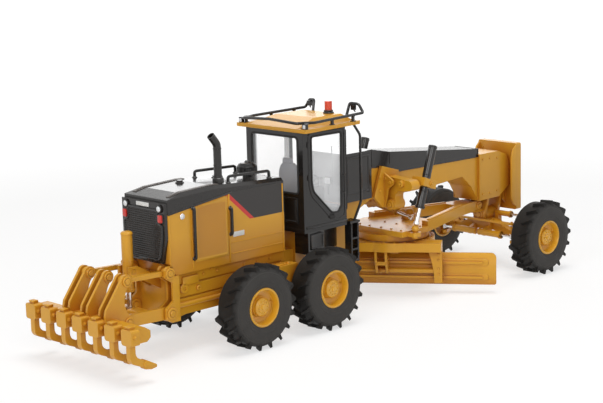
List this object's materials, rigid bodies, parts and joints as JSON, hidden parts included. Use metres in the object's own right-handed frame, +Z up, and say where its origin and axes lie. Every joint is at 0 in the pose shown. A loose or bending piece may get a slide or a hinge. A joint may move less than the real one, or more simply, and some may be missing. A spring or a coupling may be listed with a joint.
{
  "type": "motor grader scale model",
  "caption": "Scale model of an articulated motor grader with tandem rear wheels, leaning front wheels, a turning blade and a rear ripper.",
  "frame": {"origin": "middle of the bounding box in X and Y, on the ground the wheels stand on", "axes": "+X points to the front of the machine, +Y to its left, +Z up"},
  "size_m": [0.219, 0.0697, 0.0763],
  "materials": {
    "body_yellow": "satin golden yellow paint",
    "rim_yellow": "yellow moulded wheel",
    "frame_black": "satin dark grey paint",
    "tyre_rubber": "matt black moulded tyre",
    "rod_chrome": "bright chrome",
    "clear_glass": "clear",
    "seat_grey": "matt grey plastic",
    "lamp_red": "red lens",
    "lamp_chrome": "chrome lamp",
    "beacon_amber": "clear amber plastic"
  },
  "bodies": {
    "rear_frame": {"rear_frame": "body_yellow", "engine_side_panels": "body_yellow", "hood_top": "frame_black", "radiator_grille": "frame_black", "rear_lamps": "lamp_red", "exhaust_stack": "frame_black", "hood_fittings": "frame_black"},
    "tandem_left": {"tandem_case_left": "body_yellow"},
    "rear_wheel_left": {"rear_tyre_left": "tyre_rubber", "rear_rim_left": "rim_yellow"},
    "middle_wheel_left": {"middle_tyre_left": "tyre_rubber", "middle_rim_left": "rim_yellow"},
    "tandem_right": {"tandem_case_right": "body_yellow"},
    "rear_wheel_right": {"rear_tyre_right": "tyre_rubber", "rear_rim_right": "rim_yellow"},
    "middle_wheel_right": {"middle_tyre_right": "tyre_rubber", "middle_rim_right": "rim_yellow"},
    "ripper_lower_link": {"ripper_lower_link": "body_yellow"},
    "ripper_upper_links": {"ripper_upper_links": "body_yellow"},
    "ripper_carriage": {"ripper_carriage": "body_yellow"},
    "ripper_cylinder": {"ripper_cylinder": "body_yellow"},
    "ripper_rod": {"ripper_rod": "rod_chrome"},
    "front_frame": {"front_frame": "body_yellow", "boom_cover": "frame_black", "push_plate": "body_yellow", "cab_base": "body_yellow", "cab_shell": "frame_black", "cab_glass": "clear_glass", "cab_roof": "body_yellow", "cab_seat": "seat_grey", "roof_rails": "frame_black", "beacon": "beacon_amber", "roof_lamps": "lamp_chrome", "saddle": "body_yellow"},
    "drawbar_ball": {"drawbar_ball": "body_yellow"},
    "drawbar": {"drawbar": "body_yellow"},
    "circle": {"circle": "body_yellow"},
    "moldboard": {"moldboard": "body_yellow"},
    "lift_yoke_left": {"lift_yoke_left": "frame_black"},
    "lift_cylinder_left": {"lift_cylinder_left": "frame_black"},
    "lift_rod_left": {"lift_rod_left": "rod_chrome"},
    "lift_yoke_right": {"lift_yoke_right": "frame_black"},
    "lift_cylinder_right": {"lift_cylinder_right": "frame_black"},
    "lift_rod_right": {"lift_rod_right": "rod_chrome"},
    "shift_cylinder": {"shift_cylinder": "frame_black"},
    "shift_rod": {"shift_rod": "rod_chrome"},
    "front_axle": {"front_axle": "body_yellow"},
    "steering_link": {"steering_rods": "rod_chrome", "tie_rod": "body_yellow"},
    "lean_bar": {"lean_bar": "body_yellow"},
    "lean_rod": {"lean_rod": "rod_chrome"},
    "lean_yoke_left": {"lean_yoke_left": "body_yellow"},
    "knuckle_left": {"knuckle_left": "body_yellow"},
    "front_wheel_left": {"front_tyre_left": "tyre_rubber", "front_rim_left": "rim_yellow"},
    "lean_yoke_right": {"lean_yoke_right": "body_yellow"},
    "knuckle_right": {"knuckle_right": "body_yellow"},
    "front_wheel_right": {"front_tyre_right": "tyre_rubber", "front_rim_right": "rim_yellow"}
  },
  "joints": [
    {"name": "tandem_left_rock", "type": "hinge", "parent": "rear_frame", "child": "tandem_left", "pos_m": [-0.0361, 0.014, 0.01455], "axis": [0, 1, 0], "range_deg": [-12, 12]},
    {"name": "rear_wheel_left_spin", "type": "hinge", "parent": "tandem_left", "child": "rear_wheel_left", "pos_m": [-0.05266, 0.022, 0.01455], "axis": [0, 1, 0], "continuous": true},
    {"name": "middle_wheel_left_spin", "type": "hinge", "parent": "tandem_left", "child": "middle_wheel_left", "pos_m": [-0.01954, 0.022, 0.01455], "axis": [0, 1, 0], "continuous": true},
    {"name": "tandem_right_rock", "type": "hinge", "parent": "rear_frame", "child": "tandem_right", "pos_m": [-0.0361, -0.014, 0.01455], "axis": [0, 1, 0], "range_deg": [-12, 12]},
    {"name": "rear_wheel_right_spin", "type": "hinge", "parent": "tandem_right", "child": "rear_wheel_right", "pos_m": [-0.05266, -0.022, 0.01455], "axis": [0, 1, 0], "continuous": true},
    {"name": "middle_wheel_right_spin", "type": "hinge", "parent": "tandem_right", "child": "middle_wheel_right", "pos_m": [-0.01954, -0.022, 0.01455], "axis": [0, 1, 0], "continuous": true},
    {"name": "ripper_lift", "type": "hinge", "parent": "rear_frame", "child": "ripper_lower_link", "pos_m": [-0.0797, 0, 0.0154], "axis": [0, 1, 0], "range_deg": [-35, 15]},
    {"name": "ripper_upper_swing", "type": "hinge", "parent": "rear_frame", "child": "ripper_upper_links", "pos_m": [-0.08, 0, 0.0287], "axis": [0, 1, 0], "range_deg": [-35.5, 15.5]},
    {"name": "ripper_carriage_level", "type": "hinge", "parent": "ripper_lower_link", "child": "ripper_carriage", "pos_m": [-0.0972, 0, 0.016], "axis": [0, 1, 0], "range_deg": [-15.5, 35.5]},
    {"name": "ripper_cylinder_swing", "type": "hinge", "parent": "rear_frame", "child": "ripper_cylinder", "pos_m": [-0.088, 0, 0.0296], "axis": [0, 1, 0], "range_deg": [-4, 2]},
    {"name": "ripper_rod_stroke", "type": "slide", "parent": "ripper_cylinder", "child": "ripper_rod", "axis": [0, 0, -1], "range_m": [-0.0023, 0.0051]},
    {"name": "articulation", "type": "hinge", "parent": "rear_frame", "child": "front_frame", "pos_m": [-0.0231, 0, 0.0225], "axis": [0, 0, 1], "range_deg": [-20, 20]},
    {"name": "drawbar_yaw", "type": "hinge", "parent": "front_frame", "child": "drawbar_ball", "pos_m": [0.0864, 0, 0.0255], "axis": [0, 0, 1], "range_deg": [-8, 8]},
    {"name": "drawbar_pitch", "type": "hinge", "parent": "drawbar_ball", "child": "drawbar", "pos_m": [0.0864, 0, 0.0255], "axis": [0, 1, 0], "range_deg": [-12, 5]},
    {"name": "circle_turn", "type": "hinge", "parent": "drawbar", "child": "circle", "pos_m": [0.0389, 0, 0.0189], "axis": [0, 0, 1], "continuous": true},
    {"name": "blade_side_shift", "type": "slide", "parent": "circle", "child": "moldboard", "axis": [-0.5878, 0.809, 0], "range_m": [-0.01, 0.01]},
    {"name": "lift_yoke_left_swing", "type": "hinge", "parent": "front_frame", "child": "lift_yoke_left", "pos_m": [0.0383, 0.0172, 0.04266], "axis": [1, 0, 0], "range_deg": [-25.5, 25.5]},
    {"name": "lift_cylinder_left_swing", "type": "hinge", "parent": "lift_yoke_left", "child": "lift_cylinder_left", "pos_m": [0.0383, 0.0172, 0.04266], "axis": [0, 1, 0], "range_deg": [-11, 5]},
    {"name": "lift_rod_left_stroke", "type": "slide", "parent": "lift_cylinder_left", "child": "lift_rod_left", "axis": [-0.3323, 0, -0.9432], "range_m": [-0.0048, 0.011]},
    {"name": "lift_yoke_right_swing", "type": "hinge", "parent": "front_frame", "child": "lift_yoke_right", "pos_m": [0.0383, -0.0172, 0.04266], "axis": [1, 0, 0], "range_deg": [-25.5, 25.5]},
    {"name": "lift_cylinder_right_swing", "type": "hinge", "parent": "lift_yoke_right", "child": "lift_cylinder_right", "pos_m": [0.0383, -0.0172, 0.04266], "axis": [0, 1, 0], "range_deg": [-11, 5]},
    {"name": "lift_rod_right_stroke", "type": "slide", "parent": "lift_cylinder_right", "child": "lift_rod_right", "axis": [-0.3323, 0, -0.9432], "range_m": [-0.0048, 0.011]},
    {"name": "shift_cylinder_swing", "type": "hinge", "parent": "front_frame", "child": "shift_cylinder", "pos_m": [0.0373, 0.0066, 0.0324], "axis": [1, 0, 0], "range_deg": [-11, 26]},
    {"name": "shift_rod_stroke", "type": "slide", "parent": "shift_cylinder", "child": "shift_rod", "axis": [0, -0.981, -0.1942], "range_m": [-0.0071, 0.0071]},
    {"name": "axle_oscillation", "type": "hinge", "parent": "front_frame", "child": "front_axle", "pos_m": [0.095, 0, 0.0205], "axis": [-1, 0, 0], "range_deg": [-16, 16]},
    {"name": "wheel_lean", "type": "hinge", "parent": "front_axle", "child": "lean_yoke_left", "pos_m": [0.095, 0.0166, 0.01455], "axis": [1, 0, 0], "range_deg": [-18, 18]},
    {"name": "steering", "type": "hinge", "parent": "lean_yoke_left", "child": "knuckle_left", "pos_m": [0.095, 0.0202, 0.01455], "axis": [0, 0, 1], "range_deg": [-47, 47]},
    {"name": "front_wheel_left_spin", "type": "hinge", "parent": "knuckle_left", "child": "front_wheel_left", "pos_m": [0.095, 0.027, 0.01455], "axis": [0, 1, 0], "continuous": true},
    {"name": "wheel_lean_right", "type": "hinge", "parent": "front_axle", "child": "lean_yoke_right", "pos_m": [0.095, -0.0166, 0.01455], "axis": [1, 0, 0], "range_deg": [-18, 18]},
    {"name": "steering_right", "type": "hinge", "parent": "lean_yoke_right", "child": "knuckle_right", "pos_m": [0.095, -0.0202, 0.01455], "axis": [0, 0, 1], "range_deg": [-47, 47]},
    {"name": "front_wheel_right_spin", "type": "hinge", "parent": "knuckle_right", "child": "front_wheel_right", "pos_m": [0.095, -0.027, 0.01455], "axis": [0, 1, 0], "continuous": true},
    {"name": "steering_link_stroke", "type": "slide", "parent": "front_axle", "child": "steering_link", "axis": [0, 1, 0], "range_m": [-0.0046, 0.0046]},
    {"name": "lean_bar_stroke", "type": "slide", "parent": "front_axle", "child": "lean_bar", "axis": [0, 1, 0], "range_m": [-0.0007, 0.0007]},
    {"name": "lean_rod_stroke", "type": "slide", "parent": "front_axle", "child": "lean_rod", "axis": [0, 1, 0], "range_m": [-0.0022, 0.0022]}
  ],
  "couplings": [
    {"joint": "ripper_upper_swing", "follows": "ripper_lift", "ratio": 1},
    {"joint": "ripper_carriage_level", "follows": "ripper_lift", "ratio": -1},
    {"joint": "ripper_cylinder_swing", "follows": "ripper_lift", "ratio": 0.1},
    {"joint": "ripper_rod_stroke", "follows": "ripper_lift", "m_per_rad": -0.008},
    {"joint": "lift_yoke_left_swing", "follows": "drawbar_yaw", "ratio": -3.1},
    {"joint": "lift_cylinder_left_swing", "follows": "drawbar_pitch", "ratio": 0.9},
    {"joint": "lift_rod_left_stroke", "follows": "drawbar_pitch", "m_per_rad": -0.0516},
    {"joint": "lift_yoke_right_swing", "follows": "drawbar_yaw", "ratio": -3.1},
    {"joint": "lift_cylinder_right_swing", "follows": "drawbar_pitch", "ratio": 0.9},
    {"joint": "lift_rod_right_stroke", "follows": "drawbar_pitch", "m_per_rad": -0.0516},
    {"joint": "shift_cylinder_swing", "follows": "drawbar_pitch", "ratio": -2.1},
    {"joint": "shift_rod_stroke", "follows": "drawbar_yaw", "m_per_rad": 0.048},
    {"joint": "wheel_lean_right", "follows": "wheel_lean", "ratio": 1},
    {"joint": "steering_right", "follows": "steering", "ratio": 1},
    {"joint": "steering_link_stroke", "follows": "steering", "m_per_rad": -0.0049},
    {"joint": "lean_bar_stroke", "follows": "wheel_lean", "m_per_rad": -0.0019},
    {"joint": "lean_rod_stroke", "follows": "wheel_lean", "m_per_rad": -0.00645}
  ]
}
